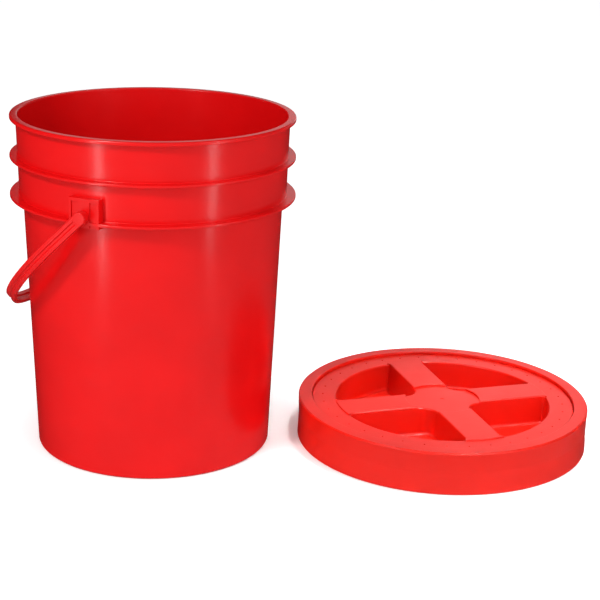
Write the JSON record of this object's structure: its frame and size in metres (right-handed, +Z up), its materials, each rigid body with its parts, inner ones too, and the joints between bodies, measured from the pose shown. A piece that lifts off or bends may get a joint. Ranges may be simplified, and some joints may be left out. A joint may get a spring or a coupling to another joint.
{
  "type": "fermenting bucket",
  "caption": "Round tapered plastic fermenting bucket with rim, two stiffening ribs, swinging strap handle and a loose press-on ring lid with a cross-gripped screw-in centre.",
  "frame": {"origin": "centre of the bucket's base, on the floor", "axes": "+Z up along the bucket's axis, +X to the right from the bucket to the lid lying beside it, -Y towards the viewer"},
  "size_m": [0.6492, 0.3487, 0.368],
  "materials": {
    "pail_plastic": "smooth moulded polyethylene, soft gloss",
    "handle_plastic": "moulded polyethylene, soft gloss",
    "ring_plastic": "moulded polyethylene, soft gloss",
    "screw_lid_plastic": "moulded polyethylene, satin top",
    "gasket_elastomer": "matt",
    "o_ring_elastomer": "matt"
  },
  "bodies": {
    "pail": {"bucket": "pail_plastic"},
    "handle": {"bail_handle": "handle_plastic"},
    "lid_ring": {"snap_ring": "ring_plastic", "rim_gasket": "gasket_elastomer"},
    "lid_seal": {"lid_o_ring": "o_ring_elastomer"},
    "lid_centre": {"screw_lid": "screw_lid_plastic"}
  },
  "joints": [
    {"name": "bail_swing", "type": "hinge", "parent": "pail", "child": "handle", "pos_m": [0, 0, 0.2886], "axis": [0.4602, 0.8878, 0], "range_deg": [-1.6, 269.2]},
    {"name": "lid_lift", "type": "slide", "parent": "pail", "child": "lid_ring", "axis": [0, 0, 1], "range_m": [0, 0.42]},
    {"name": "screw_rise", "type": "slide", "parent": "lid_ring", "child": "lid_seal", "axis": [0, 0, 1], "range_m": [0, 0.025]},
    {"name": "screw_turn", "type": "hinge", "parent": "lid_seal", "child": "lid_centre", "pos_m": [0.327, -0.015, 0], "axis": [0, 0, 1], "range_deg": [0, 900]}
  ],
  "couplings": [
    {"joint": "screw_rise", "follows": "screw_turn", "m_per_rad": 0.0015915}
  ]
}
